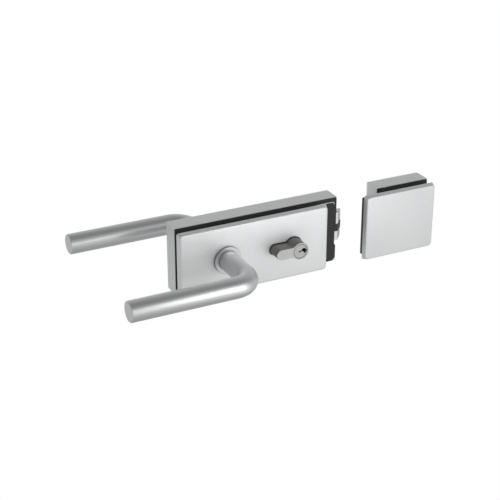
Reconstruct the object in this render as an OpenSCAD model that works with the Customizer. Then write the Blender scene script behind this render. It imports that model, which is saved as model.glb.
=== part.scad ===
// Glass to glass lever lockset: a lock half with two levers and a level profile cylinder, and a strike half.
// The origin is on the lever axis, in the plane of the glass pane's back face. X points from the lock to
// the strike, Y points away from the viewer, to the side of the deep cases, and Z points up.

/* [Glass] */
// Thickness of the glass pane that each half clamps
glass_t = 8; // [8:0.5:9]
// Thickness of the thin pad between the glass and the front plates
pad_t = 0.5; // [0.5:0.1:1]
// Thickness of the gasket between the glass and the deep cases
gasket_t = 2; // [2:0.5:3]

/* [Cases and covers] */
// Height of cases and covers
body_h = 67; // [67:1:70]
// Thickness of the front covers
cover_t = 5; // [5:0.5:6]
// Depth of the cases behind the gasket
case_d = 25; // [25:0.5:27]
// Radius on the back edges of the cases
case_round = 9; // [8:0.5:10]
// Wall thickness of the cases
case_wall = 3; // [2.5:0.5:3]
// Radius on the front edges of the covers
cover_round = 1.8; // [1:0.2:2]
// Radius of the covers' four corners
cover_corner = 5; // [4:0.5:7]
// Thickness of the covers' front wall
cover_face = 1.8; // [1.5:0.1:2]
// Thickness of the covers' side walls
cover_side = 2; // [1.8:0.1:2.5]

/* [Lock half] */
// Distance from the lever axis to the left end of the lock cover
cover_left = 48; // [46:1:52]
// Length of the lock cover
cover_l = 154; // [150:1:156]
// Distance from the lever axis to the left end of the lock case
case_left = 45.5; // [44:0.5:46]
// Length of the lock case, which reaches past the cover towards the strike
case_l = 168.6; // [168.2:0.2:170]

/* [Levers] */
// Diameter of the lever bars
lever_d = 19.5; // [19:0.1:20]
// Distance from the lever axis to the end of a lever
lever_reach = 119.5; // [100:0.5:140]
// Distance from a cover's face to the axis of the lever bar beside it
lever_stand = 55; // [48:1:65]
// Radius of the bend between neck and bar, at the middle of the bar
bend_r = 18; // [16:1:25]
// Chamfer at the ends of the lever bars
end_chamfer = 0.8; // [0.4:0.1:1.5]
// Diameter of the roses round the lever necks
rose_d = 27; // [26:0.5:32]
// Height of the roses above the covers
rose_t = 3; // [2:0.5:4]
// Width of the square spindle
spindle_w = 8; // [8:1:8]

/* [Cylinder] */
// Distance from the lever axis to the plug axis of the cylinder
cyl_x = 68.5; // [68:0.5:69]
// How far the cylinder stands out of the front cover
cyl_proud = 14.5; // [8:0.5:16]
// Length of the cylinder from end to end
cyl_l = 70; // [70:1:75]
// Width of the cam's recess in the middle of the cylinder
cam_gap = 10; // [10:0.5:10.5]

/* [Latch and deadbolt] */
// How far the latch stands out of the case
latch_out = 11.5; // [10:0.5:12]
// Height of the latch
latch_h = 29; // [28:0.5:30]
// Height of the latch's lower edge over the lever axis
latch_low = -14; // [-14:0.5:-13]
// Thickness of the latch
latch_t = 9; // [8.5:0.5:9.5]

/* [Strike half] */
// Gap between the two covers, as the halves lie apart
strike_gap = 41.5; // [3:0.5:60]
// Length of the strike cover
strike_l = 78.5; // [78:0.5:82]
// How far the strike cover reaches past its case, as a stop lip
strike_lip = 20.5; // [20:0.5:22]

/* [Hidden] */

$fn = 64;
eps = 0.01;
half_h = body_h / 2;

// Planes across the glass, from the front to the back
y_pad = -glass_t;
y_plate = y_pad - pad_t;
y_cover = y_plate - cover_t;
y_case = gasket_t;
y_back = y_case + case_d;
y_mid = (y_cover + y_back) / 2;
y_floor = y_back - case_wall;
plate_front = y_cover + cover_face;

// Lock half along X
cover_x0 = -cover_left;
cover_x1 = cover_x0 + cover_l;
case_x0 = -case_left;
case_x1 = case_x0 + case_l;
gasket_edge = 0.3;
gasket_corner = 1;
gasket_cut = 3.2;
gasket_rim = 2.5;
field_corner = 1.5;
gasket_step = 1.1;
gasket_notch = 1.6;
gasket_notch_z = [-15.2, 1];
pad_inset = 2;
plate_gap = 0.2;

// Lock body, a tray with a lid, held in the case
body_x0 = -26;
body_x1 = case_x1 - case_wall - 0.2;
body_nose_x = case_x1 - 1.1;
body_half = half_h - case_wall - 0.2;
lid_t = 1.5;
body_y0 = y_case + lid_t;
body_wall = 2;
body_floor = 2.5;
body_floor_y = y_floor - body_floor;
lid_screw_r = 1.5;
lid_screw_z = body_half - 2.7;
lid_screw_places = [[109, lid_screw_z], [109, -lid_screw_z]];
cavity_half = body_half - body_wall;
block_x = 100;
window_y = y_back - 6.4;

// Clamp screws in the posts of the cases
post_r = 3.8;
post_gap = 0.2;
post_x = [-20, 38, 96];
post_z = body_half - 4.8;
screw_r = 2;
screw_head_r = 4;
screw_head_t = 2;
screw_tip_y = 16;
hex_af_r = 1.45;

// Lever, rose, bush and spindle
lever_r = lever_d / 2;
bar_y = y_cover - lever_stand;
rose_r = rose_d / 2;
rose_edge = 0.6;
rose_bore_r = lever_r + 0.08;
sleeve_r = rose_bore_r + 2;
sleeve_in = 3;
bush_out = 1.4;
spigot_r = 8;
bush_r = spigot_r + 0.05;
neck_y = y_cover - bush_out - 0.2;
spigot_y = y_cover + sleeve_in - 0.1;
socket_w = spindle_w + 0.1;
socket_depth = 34;
spindle_y = spigot_y - socket_depth + 2;
grub_r = 2.5;
grub_y = neck_y - 9;

// Follower, turned by the spindle
hub_r = 10;
hub_big_r = 12;
arm_reach = 16;
arm_r = 3;
turn_gap = 0.05;
pull_y0 = 4.5;
pull_y1 = 9.5;
push_y0 = 9;
push_y1 = 15;

// Springs
coil_y = 12;
latch_coil_z = cavity_half - 4.2;
latch_coil_x = [54, 88];
return_coil_x = [4.2, 33.5];

// Latch and deadbolt
bolt_y0 = y_case + 3;
bolt_y1 = bolt_y0 + latch_t;
bolt_gap = 0.1;
latch_x0 = 98;
latch_x1 = case_x1 + latch_out;
latch_high = latch_low + latch_h;
latch_step_x = 107;
latch_step = 1.2;
tail_z0 = 16.5;
tail_z1 = 20.5;
tail_y0 = 10.2;
tail_y1 = 14.2;
shoulder_x0 = 92;
shoulder_z0 = 11.5;
hook_x0 = -9.3;
hook_x1 = -3.3;
bevel_x = case_x1 + 4;
bevel_y = bolt_y0 + 8.4;
latch_nose_r = 1.4;
latch_hole_r = 0.6;
insert_x = 112;
insert_proud = 0.25;
insert_z = [latch_low + 9.5, latch_low + 17.3];
dead_y1 = bolt_y0 + 12;
dead_z0 = -24.5;
dead_z1 = -16.2;
dead_x0 = 101;
dead_x1 = body_nose_x - 0.2;
dead_tail_x = 51.5;
dead_tail_y0 = 8;
dead_tail_y1 = 16;
dead_tail_z0 = -20.5;
dead_tail_z1 = -16.4;
talon_top = -13.5;
talon_x = [dead_tail_x, 56, 74.5, 79];

// Profile cylinder: round part to the right, leg to the left
cyl_r = 8.5;
leg_w = 10;
leg_reach = 24.5;
cyl_y0 = y_cover - cyl_proud;
cyl_y1 = cyl_y0 + cyl_l;
cam_y0 = cyl_y0 + 40 - cam_gap / 2;
cam_y1 = cam_y0 + cam_gap;
cam_y = (cam_y0 + cam_y1) / 2;
plug_bore_r = 6.5;
plug_r = 6.45;
collar_r = 7.2;
collar_bore_r = 7.25;
collar_t = 1.6;
collar_chamfer = 0.4;
cam_reach = 15;
cam_ring_r = 8;
cam_w = 9.4;
bridge_x = cyl_x - cam_reach - 0.5;
clutch_r = 4.9;
screw_x = cyl_x - 20;
cyl_screw_r = 2.5;
keyway_depth = 28;
pin_first = 5;
pin_pitch = 4;
pin_count = 5;
pin_r = 1.4;
hole_gap = 0.5;

// Strike half along X
strike_x0 = cover_x1 + strike_gap;
strike_x1 = strike_x0 + strike_l;
strike_case_x0 = strike_x0 + strike_lip;
strike_case_x1 = strike_x1 - 0.5;
keep_x1 = strike_case_x0 + 22;
keep_body_x = strike_case_x0 + case_wall + 0.2;
pocket_x1 = strike_case_x0 + 16;
pocket_gap = 0.6;
strike_post_x = [keep_x1 + 7, strike_case_x1 - 8.5];
strike_post_z = 22;
buffer_inset = 2.5;
buffer_w = 6;
buffer_clear = 0.3;

module slab(y0, y1) {
    // Carries a drawing in X and Z through the thickness from y0 to y1
    translate([0, y1, 0])
        rotate([90, 0, 0])
            linear_extrude(height = y1 - y0)
                children();
}

module block(x0, x1, y0, y1, z0, z1) {
    translate([x0, y0, z0])
        cube([x1 - x0, y1 - y0, z1 - z0]);
}

module rod_y(r, y0, y1, x = 0, z = 0) {
    translate([x, y1, z])
        rotate([90, 0, 0])
            cylinder(r = r, h = y1 - y0);
}

module rod_x(r, x0, x1, y, z) {
    translate([x0, y, z])
        rotate([0, 90, 0])
            cylinder(r = r, h = x1 - x0);
}

module to_rear() {
    // Mirrors a piece of the front side to the rear side of the lock
    translate([0, 2 * y_mid, 0])
        mirror([0, 1, 0])
            children();
}

module round_rect(x0, x1, z0, z1, r) {
    // Rectangle with four round corners
    translate([x0 + r, z0])
        square([x1 - x0 - 2 * r, z1 - z0]);
    translate([x0, z0 + r])
        square([x1 - x0, z1 - z0 - 2 * r]);
    for (x = [x0 + r, x1 - r], z = [z0 + r, z1 - r])
        translate([x, z])
            circle(r = r);
}

module back_profile(length, depth, r) {
    // Outline with its front at zero and its two back corners round
    square([length, depth - r]);
    translate([r, 0])
        square([length - 2 * r, depth]);
    for (x = [r, length - r])
        translate([x, depth - r])
            circle(r = r);
}

module back_rounded(x0, x1, y0, y1, half, r) {
    // Box whose back edges are all round, with the rounds meeting in mitres
    intersection() {
        translate([x0, y0, -half])
            linear_extrude(height = 2 * half)
                back_profile(x1 - x0, y1 - y0, r);
        translate([x1, y0, -half])
            rotate([0, -90, 0])
                linear_extrude(height = x1 - x0)
                    back_profile(2 * half, y1 - y0, r);
    }
}

module edge_profile(reach, t, r) {
    // Half section of a plate whose top edge is round
    square([reach, t - r]);
    square([reach - r, t]);
    translate([reach - r, t - r])
        circle(r = r);
}

module strip_profile(width, t, r) {
    edge_profile(width / 2, t, r);
    mirror([1, 0])
        edge_profile(width / 2, t, r);
}

module soft_plate(x0, x1, half, y_front, t, corner, r) {
    // Plate with round corners and a round front edge all the way along its outline
    length = x1 - x0;
    middle = (x0 + x1) / 2;
    translate([middle, y_front + t, 0])
        rotate([90, 0, 0]) {
            translate([-length / 2 + corner, 0, 0])
                rotate([90, 0, 90])
                    linear_extrude(height = length - 2 * corner)
                        strip_profile(2 * half, t, r);
            translate([0, half - corner, 0])
                rotate([90, 0, 0])
                    linear_extrude(height = 2 * (half - corner))
                        strip_profile(length, t, r);
            for (a = [0, 1, 2, 3])
                translate([
                    (a == 0 || a == 3 ? 1 : -1) * (length / 2 - corner),
                    (a < 2 ? 1 : -1) * (half - corner),
                    0
                ])
                    rotate([0, 0, 90 * a])
                        rotate_extrude(angle = 90)
                            edge_profile(corner, t, r);
        }
}

module euro_profile(grow = 0) {
    // Section of the profile cylinder, about its plug axis
    circle(r = cyl_r + grow);
    translate([-leg_reach + leg_w / 2, -leg_w / 2 - grow])
        square([leg_reach - leg_w / 2, leg_w + 2 * grow]);
    translate([-leg_reach + leg_w / 2, 0])
        circle(r = leg_w / 2 + grow);
}

module euro_hole(y0, y1, grow) {
    slab(y0, y1)
        translate([cyl_x, 0])
            euro_profile(grow);
}

module post_holes(r, y0, y1) {
    for (x = post_x, z = [-post_z, post_z])
        rod_y(r, y0, y1, x, z);
}

module strike_holes(r, y0, y1) {
    for (x = strike_post_x, z = [-strike_post_z, strike_post_z])
        rod_y(r, y0, y1, x, z);
}

module case_shell(x0, x1) {
    // Deep case, open to the front, with its walls round at the back
    difference() {
        back_rounded(x0, x1, y_case, y_back, half_h, case_round);
        back_rounded(x0 + case_wall, x1 - case_wall, y_case - 1, y_floor, half_h - case_wall,
            case_round - case_wall);
    }
}

module post(x, z) {
    difference() {
        rod_y(post_r, y_case, y_floor + eps, x, z);
        rod_y(screw_r, y_case - 1, screw_tip_y + 1, x, z);
    }
}

module countersunk(x, z) {
    // Countersunk screw with a hexagon socket
    difference() {
        union() {
            translate([x, plate_front + screw_head_t, z])
                rotate([90, 0, 0])
                    cylinder(r1 = screw_r, r2 = screw_head_r, h = screw_head_t);
            rod_y(screw_r, plate_front + screw_head_t, screw_tip_y, x, z);
        }
        translate([x, plate_front + 1.4, z])
            rotate([90, 0, 0])
                cylinder(r = hex_af_r, h = 3, $fn = 6);
    }
}

module countersinks(x, z) {
    translate([x, plate_front + screw_head_t, z])
        rotate([90, 0, 0])
            cylinder(r1 = screw_r, r2 = screw_head_r, h = screw_head_t);
    rod_y(screw_r, plate_front, y_plate + 1, x, z);
}

// Lock half: case, gasket, lock body and what clamps the glass

module rear_case() {
    color("silver")
        difference() {
            union() {
                case_shell(case_x0, case_x1);
                for (x = post_x, z = [-post_z, post_z])
                    post(x, z);
            }
            // Window for the lock body's nose, in the end that faces the strike
            block(case_x1 - case_wall - 1, case_x1 + 1, y_case - 1, window_y, -(half_h - case_wall),
                half_h - case_wall);
            // Seat of the rear rose and way out of the cylinder
            rod_y(sleeve_r, y_floor - 1, y_back + 1);
            euro_hole(y_floor - 1, y_back + 1, hole_gap);
            // Way in for the cylinder's fixing screw, from below
            translate([screw_x, cam_y, -half_h - 1])
                cylinder(r = 4.5, h = 3.3);
            translate([screw_x, cam_y, -half_h - 1])
                cylinder(r = cyl_screw_r + 0.2, h = case_wall + 2);
        }
}

module stepped_gasket(x0, x1) {
    // Gasket as large as its case, whose field stands out of a lower rim and meets the glass
    rim = gasket_edge + gasket_rim;
    slab(gasket_step, y_case)
        round_rect(x0 + gasket_edge, x1 - gasket_edge, -half_h + gasket_edge, half_h - gasket_edge,
            gasket_corner);
    slab(0, y_case)
        round_rect(x0 + rim, x1 - rim, -half_h + rim, half_h - rim, field_corner);
}

module gasket_cuts(edge_x) {
    // Notch in the rim beside the latch, and the lower corner cut off at the strike's end
    slab(-1, y_case + 1) {
        polygon([
            [edge_x - gasket_notch, gasket_notch_z[0]], [edge_x + 1, gasket_notch_z[0] - gasket_notch - 1],
            [edge_x + 1, gasket_notch_z[1]], [edge_x - gasket_notch, gasket_notch_z[1]]
        ]);
        translate([edge_x, gasket_edge - half_h])
            polygon([[-gasket_cut, 0], [-gasket_cut, -1], [1, -1], [1, gasket_cut], [0, gasket_cut]]);
    }
}

module rear_gasket() {
    color("#202022")
        difference() {
            stepped_gasket(case_x0, case_x1);
            rod_y(hub_big_r, -1, y_case + 1);
            euro_hole(-1, y_case + 1, hole_gap);
            post_holes(screw_r, -1, y_case + 1);
            gasket_cuts(case_x1 - gasket_edge);
        }
}

module lock_body() {
    color("#2b2b2d")
        difference() {
            union() {
                difference() {
                    back_rounded(body_x0, body_x1, body_y0, y_floor, body_half, case_round - case_wall + 0.2);
                    block(body_x0 + body_wall, block_x, body_y0 - 1, body_floor_y, -cavity_half, cavity_half);
                }
                // Nose that shows in the end of the case
                block(body_x1 - 0.7, body_nose_x, body_y0, window_y - 0.1, -body_half, body_half);
                // Stop for the follower's lower arm and seats of the two springs
                block(-8, -arm_r - 0.1, push_y0, body_floor_y + eps, -20, -13);
                block(return_coil_x[1], return_coil_x[1] + 2, push_y0, body_floor_y + eps, -20, -12);
                block(latch_coil_x[0] - 2, latch_coil_x[0], push_y0, body_floor_y + eps, 21.2,
                    cavity_half + eps);
            }
            // Channels of latch and deadbolt through the nose
            block(block_x - 1, case_x1, bolt_y0 - bolt_gap, bolt_y1 + bolt_gap, latch_low - bolt_gap,
                latch_high + bolt_gap);
            block(block_x - 1, case_x1, bolt_y0 - bolt_gap, dead_y1 + bolt_gap, dead_z0 - bolt_gap,
                dead_z1 + bolt_gap);
            rod_y(hub_r + turn_gap, body_floor_y - 1, y_floor + 1);
            euro_hole(body_floor_y - 1, y_floor + 1, 0.25);
            post_holes(post_r + post_gap, body_y0 - 1, y_floor + 1);
            translate([screw_x, cam_y, -body_half - 1])
                cylinder(r = cyl_screw_r + 0.2, h = body_wall + 2);
            for (p = lid_screw_places)
                rod_y(lid_screw_r, body_y0 - 1, body_y0 + 6, p[0], p[1]);
        }
}

module lock_lid() {
    color("#3a3a3c")
        difference() {
            slab(y_case, body_y0)
                square_between(body_x0, body_nose_x, -body_half, body_half);
            rod_y(hub_r + turn_gap, y_case - 1, body_y0 + 1);
            euro_hole(y_case - 1, body_y0 + 1, 0.25);
            post_holes(post_r + post_gap, y_case - 1, body_y0 + 1);
            for (p = lid_screw_places)
                rod_y(lid_screw_r, y_case - 1, body_y0 + 1, p[0], p[1]);
        }
}

module square_between(x0, x1, z0, z1) {
    translate([x0, z0])
        square([x1 - x0, z1 - z0]);
}

module lid_screws() {
    color("#6f7072")
        for (p = lid_screw_places)
            rod_y(lid_screw_r, y_case, body_y0 + 5, p[0], p[1]);
}

module front_pad() {
    color("#202022")
        difference() {
            slab(y_plate, y_pad)
                round_rect(cover_x0 + pad_inset, cover_x1 - pad_inset, -half_h + pad_inset,
                    half_h - pad_inset, cover_corner - pad_inset);
            rod_y(hub_big_r, y_plate - 1, y_pad + 1);
            euro_hole(y_plate - 1, y_pad + 1, hole_gap);
            post_holes(screw_r, y_plate - 1, y_pad + 1);
        }
}

module inner_plate(x0, x1) {
    // Steel plate that fills a cover's pocket
    slab(plate_front, y_plate)
        round_rect(x0 + cover_side + plate_gap, x1 - cover_side - plate_gap,
            -half_h + cover_side + plate_gap, half_h - cover_side - plate_gap, cover_corner - cover_side);
}

module clamp_plate() {
    color("#4a4b4d")
        difference() {
            inner_plate(cover_x0, cover_x1);
            rod_y(sleeve_r, plate_front - 1, y_plate + 1);
            euro_hole(plate_front - 1, y_plate + 1, hole_gap);
            for (x = post_x, z = [-post_z, post_z])
                countersinks(x, z);
        }
}

module clamp_screws() {
    color("#8a8c8f")
        for (x = post_x, z = [-post_z, post_z])
            countersunk(x, z);
}

module cover_shell(x0, x1) {
    // Thin front cover with a pocket for the plate behind it
    difference() {
        soft_plate(x0, x1, half_h, y_cover, cover_t, cover_corner, cover_round);
        slab(plate_front, y_plate + 1)
            round_rect(x0 + cover_side, x1 - cover_side, -half_h + cover_side, half_h - cover_side,
                cover_corner - cover_side);
    }
}

module front_cover() {
    color("silver")
        difference() {
            cover_shell(cover_x0, cover_x1);
            rod_y(sleeve_r, y_cover - 1, plate_front + 1);
            euro_hole(y_cover - 1, plate_front + 1, hole_gap);
        }
}

// Levers, roses and what turns with them

module rose() {
    // Raised ring with a sleeve that passes through the cover
    translate([0, y_cover, 0])
        rotate([90, 0, 0])
            rotate_extrude()
                difference() {
                    union() {
                        edge_profile(rose_r, rose_t, rose_edge);
                        translate([0, -sleeve_in])
                            square([sleeve_r, sleeve_in]);
                    }
                    translate([-1, -sleeve_in - 1])
                        square([rose_bore_r + 1, sleeve_in + rose_t + 2]);
                }
}

module bush() {
    difference() {
        rod_y(rose_bore_r, y_cover - bush_out, y_cover + sleeve_in);
        rod_y(bush_r, y_cover - bush_out - 1, y_cover + sleeve_in + 1);
    }
}

module lever() {
    difference() {
        union() {
            rod_y(spigot_r, neck_y - eps, spigot_y);
            rod_y(lever_r, bar_y + bend_r, neck_y);
            translate([-bend_r, bar_y + bend_r, 0])
                rotate([0, 0, -90])
                    rotate_extrude(angle = 90)
                        translate([bend_r, 0])
                            circle(r = lever_r);
            rod_x(lever_r, -lever_reach + end_chamfer, -bend_r, bar_y, 0);
            translate([-lever_reach, bar_y, 0])
                rotate([0, 90, 0])
                    cylinder(r1 = lever_r - end_chamfer, r2 = lever_r, h = end_chamfer);
        }
        block(-socket_w / 2, socket_w / 2, spigot_y - socket_depth, spigot_y + 1, -socket_w / 2,
            socket_w / 2);
        translate([0, grub_y, -lever_r - 1])
            cylinder(r = grub_r, h = lever_r);
    }
}

module grub_screw() {
    difference() {
        translate([0, grub_y, -lever_r + 0.6])
            cylinder(r = grub_r, h = lever_r - 0.6 - spindle_w / 2);
        translate([0, grub_y, -lever_r - 1])
            cylinder(r = 1.2, h = 4, $fn = 6);
    }
}

module front_rose() {
    color("silver")
        rose();
}

module rear_rose() {
    color("silver")
        to_rear()
            rose();
}

module front_bush() {
    color("#202022")
        bush();
}

module rear_bush() {
    color("#202022")
        to_rear()
            bush();
}

module front_lever() {
    color("#b4b6b9")
        lever();
}

module rear_lever() {
    color("#b4b6b9")
        to_rear()
            lever();
}

module spindle() {
    // Square bar from lever to lever, through the follower
    color("#7d7f82")
        block(-spindle_w / 2, spindle_w / 2, spindle_y, 2 * y_mid - spindle_y, -spindle_w / 2, spindle_w / 2);
}

module lever_grub_screws() {
    color("#6f7072") {
        grub_screw();
        to_rear()
            grub_screw();
    }
}

module arm(y0, y1, side) {
    // Round-ended arm that points up for side 1 and down for side -1
    slab(y0, y1) {
        translate([-arm_r, side > 0 ? 0 : -arm_reach])
            square([2 * arm_r, arm_reach]);
        translate([0, side * arm_reach])
            circle(r = arm_r);
    }
}

module follower() {
    color("#8e9093")
        difference() {
            union() {
                rod_y(hub_r, y_case + 0.2, y_floor - 0.2);
                rod_y(hub_big_r, body_y0 + 0.5, body_floor_y - 0.5);
                arm(pull_y0, pull_y1, 1);
                arm(push_y0, push_y1, -1);
            }
            block(-socket_w / 2, socket_w / 2, y_case - 1, y_floor + 1, -socket_w / 2, socket_w / 2);
        }
}

function coil_points(x0, x1, r, wire, turns, steps, sides, y, z) = [
    for (i = [0 : turns * steps])
        let (a = 360 * i / steps, x = x0 + (x1 - x0) * i / (turns * steps))
            for (j = [0 : sides - 1])
                let (b = 360 * j / sides, q = r + wire * cos(b))
                    [x + wire * sin(b), y + q * cos(a), z + q * sin(a)]
];

function coil_faces(rings, sides) = concat(
    [[for (j = [0 : sides - 1]) j]],
    [for (i = [0 : rings - 2], j = [0 : sides - 1])
        [i * sides + j, (i + 1) * sides + j, (i + 1) * sides + (j + 1) % sides, i * sides + (j + 1) % sides]],
    [[for (j = [sides - 1 : -1 : 0]) (rings - 1) * sides + j]]
);

module coil(x, r, wire, turns, z) {
    // Compression spring along X, between the two places in x
    steps = 9;
    sides = 5;
    color("#9a9c9f")
        polyhedron(
            coil_points(x[0] + wire, x[1] - wire, r, wire, turns, steps, sides, coil_y, z),
            coil_faces(turns * steps + 1, sides)
        );
}

module follower_spring() {
    coil(return_coil_x, 2.4, 0.5, 8, -arm_reach);
}

// Latch and deadbolt

module latch_plan(grow = 0) {
    // Seen from above: the bevel faces the front and the strike
    polygon([
        [latch_x0, bolt_y0], [bevel_x, bolt_y0], [latch_x1 + grow, bevel_y - grow],
        [latch_x1 + grow, bolt_y1], [latch_x0, bolt_y1]
    ]);
}

module latch_head(grow = 0) {
    // The tip has round corners, and the lower edge steps up where the deadbolt's talons pass
    nose_x = latch_x1 + grow - latch_nose_r;
    intersection() {
        translate([0, 0, latch_low - 1])
            linear_extrude(height = latch_h + 2)
                latch_plan(grow);
        slab(bolt_y0 - 1, bolt_y1 + 1) {
            polygon([
                [latch_x0, latch_low + latch_step], [latch_step_x, latch_low + latch_step],
                [latch_step_x, latch_low], [nose_x, latch_low], [nose_x, latch_high], [latch_x0, latch_high]
            ]);
            translate([nose_x - eps, latch_low + latch_nose_r])
                square([latch_nose_r + eps, latch_h - 2 * latch_nose_r]);
            for (z = [latch_low + latch_nose_r, latch_high - latch_nose_r])
                translate([nose_x, z])
                    circle(r = latch_nose_r);
        }
    }
}

module insert_window(y0, y1) {
    // Place of the quiet insert in the latch
    block(insert_x, latch_x1 + 1, y0, y1, insert_z[0], insert_z[1]);
}

module latch_bolt() {
    color("#c3c5c8")
        union() {
            difference() {
                latch_head();
                insert_window(bolt_y0 - 1, bolt_y1 + 1);
                // Hole of the pin that holds the insert
                translate([bevel_x + 0.2, bolt_y0 + 1.6, latch_high - 3])
                    cylinder(r = latch_hole_r, h = 4);
            }
            // Tail with the hook that the follower pulls and the lug that the spring pushes
            block(shoulder_x0, latch_x0 + 1, tail_y0, tail_y1, shoulder_z0, tail_z1);
            block(hook_x0, shoulder_x0 + 1, tail_y0, tail_y1, tail_z0, tail_z1);
            block(hook_x0, hook_x1, pull_y0, tail_y1, 13, tail_z1);
            block(latch_coil_x[1], latch_coil_x[1] + 2, push_y0, push_y1, tail_z1 - 1, cavity_half - 1);
        }
}

module latch_insert() {
    color("#232325")
        intersection() {
            latch_head(insert_proud);
            insert_window(bolt_y0 - 1, bolt_y1 + 1);
        }
}

module latch_spring() {
    coil(latch_coil_x, 2.1, 0.45, 9, latch_coil_z);
}

module deadbolt() {
    color("#c3c5c8")
        union() {
            block(dead_x0, dead_x1, bolt_y0, dead_y1, dead_z0, dead_z1);
            block(dead_tail_x, dead_x0 + 1, dead_tail_y0, dead_tail_y1, dead_tail_z0, dead_tail_z1);
            // Two talons, between which the cam reaches down
            block(talon_x[0], talon_x[1], dead_tail_y0, dead_tail_y1, dead_tail_z1 - 1, talon_top);
            block(talon_x[2], talon_x[3], dead_tail_y0, dead_tail_y1, dead_tail_z1 - 1, talon_top);
        }
}

// Profile cylinder

function pin_places() = concat(
    [for (i = [0 : pin_count - 1]) cyl_y0 + pin_first + i * pin_pitch],
    [for (i = [0 : pin_count - 1]) cyl_y1 - pin_first - i * pin_pitch]
);

module cylinder_housing() {
    color("#b9bbbe")
        difference() {
            euro_hole(cyl_y0, cyl_y1, 0);
            rod_y(plug_bore_r, cyl_y0 - 1, cyl_y1 + 1, cyl_x, 0);
            rod_y(collar_bore_r, cyl_y0 - 1, cyl_y0 + collar_t, cyl_x, 0);
            rod_y(collar_bore_r, cyl_y1 - collar_t, cyl_y1 + 1, cyl_x, 0);
            // Recess of the cam, which leaves a bridge at the end of the leg
            block(bridge_x, cyl_x + cyl_r + 1, cam_y0, cam_y1, -cyl_r - 1, cyl_r + 1);
            translate([screw_x, cam_y, -leg_w])
                cylinder(r = cyl_screw_r, h = 2 * leg_w);
            for (y = pin_places())
                rod_x(pin_r, cyl_x - leg_reach + 2, cyl_x - plug_bore_r + 1, y, 0);
        }
}

module plug(back, depth) {
    // Plug whose face is at the cylinder's front end, with its collar, keyway and seat for the clutch
    difference() {
        union() {
            rod_y(plug_r, cyl_y0 + eps, back, cyl_x, 0);
            rod_y(collar_r, cyl_y0 + collar_chamfer, cyl_y0 + collar_t, cyl_x, 0);
            translate([cyl_x, cyl_y0 + collar_chamfer, 0])
                rotate([90, 0, 0])
                    cylinder(r1 = collar_r, r2 = collar_r - collar_chamfer, h = collar_chamfer);
        }
        rod_y(clutch_r + 0.1, back - 3, back + 1, cyl_x, 0);
        slab(cyl_y0 - 1, cyl_y0 + depth)
            translate([cyl_x, 0])
                keyway();
    }
}

module keyway() {
    // Warded slot, thin towards the pins and wide on the far side of the plug
    polygon([
        [-5.4, -0.3], [-2.8, -0.3], [-2.5, -1.5], [-0.8, -1.5], [-0.1, -0.6], [0.9, -1.2], [3.2, -1.2],
        [4.2, -1.9], [5.8, -1.7], [5.9, 0.6], [4.8, 1.6], [3.6, 2.7], [1.4, 2.7], [0.4, 1.2], [-0.7, 0.3],
        [-5.4, 0.3]
    ]);
}

module front_plug() {
    color("#a9abae")
        plug(cam_y0, keyway_depth);
}

module rear_plug() {
    color("#a9abae")
        translate([0, cyl_y0 + cyl_y1, 0])
            mirror([0, 1, 0])
                plug(cyl_y0 + cyl_y1 - cam_y1, keyway_depth - 8);
}

module cam() {
    // Ring with a nose, which points along the leg when the key can be drawn
    color("#8e9093")
        difference() {
            slab(cam_y0 + 0.15, cam_y1 - 0.15)
                intersection() {
                    union() {
                        translate([cyl_x, 0])
                            circle(r = cam_ring_r);
                        translate([cyl_x - cam_reach, -cam_w / 2])
                            square([cam_reach, cam_w]);
                    }
                    translate([cyl_x, 0])
                        circle(r = cam_reach);
                }
            rod_y(clutch_r, cam_y0 - 1, cam_y1 + 1, cyl_x, 0);
        }
}

module clutch() {
    color("#caa24a")
        rod_y(clutch_r, cam_y0 - 2.5, cam_y1 + 2.5, cyl_x, 0);
}

module pin_stacks() {
    // Pins and their springs, one stack to a chamber, standing at the edge of the plug
    color("#caa24a")
        for (y = pin_places())
            rod_x(pin_r, cyl_x - leg_reach + 2, cyl_x - plug_bore_r - 0.3, y, 0);
}

module cylinder_screw() {
    // Long screw from below, through the bridge of the cylinder
    color("#8a8c8f")
        difference() {
            union() {
                translate([screw_x, cam_y, -half_h + 0.2])
                    cylinder(r = 4.3, h = 2.1);
                translate([screw_x, cam_y, -half_h + 0.2])
                    cylinder(r = cyl_screw_r, h = half_h + leg_w / 2 - 1);
            }
            translate([screw_x, cam_y, -half_h - 1])
                cylinder(r = 1.7, h = 3, $fn = 6);
        }
}

// Strike half

module strike_case() {
    color("silver")
        difference() {
            union() {
                case_shell(strike_case_x0, strike_case_x1);
                for (x = strike_post_x, z = [-strike_post_z, strike_post_z])
                    post(x, z);
            }
            strike_pockets(strike_case_x0 - 1, strike_case_x0 + case_wall + 1);
        }
}

module strike_gasket() {
    color("#202022")
        difference() {
            stepped_gasket(strike_case_x0, strike_case_x1);
            strike_holes(screw_r, -1, y_case + 1);
        }
}

module strike_pockets(x0, x1) {
    // Ways in for the latch and, below it, the deadbolt
    block(x0, x1, bolt_y0 - pocket_gap, bolt_y1 + pocket_gap, latch_low - pocket_gap,
        latch_high + pocket_gap);
    block(x0, x1, bolt_y0 - pocket_gap, dead_y1 + pocket_gap, dead_z0 - pocket_gap,
        dead_z1 + pocket_gap / 2);
}

module strike_keep() {
    // Black insert behind the case's end wall, with a pocket for the latch and one for the deadbolt
    color("#2b2b2d")
        difference() {
            back_rounded(keep_body_x, keep_x1, y_case, y_floor, body_half, case_round - case_wall + 0.2);
            strike_pockets(strike_case_x0, pocket_x1);
        }
}

module strike_pad() {
    color("#202022")
        difference() {
            slab(y_plate, y_pad)
                round_rect(strike_case_x0 + pad_inset, strike_x1 - pad_inset, -half_h + pad_inset,
                    half_h - pad_inset, cover_corner - pad_inset);
            strike_holes(screw_r, y_plate - 1, y_pad + 1);
        }
}

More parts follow.
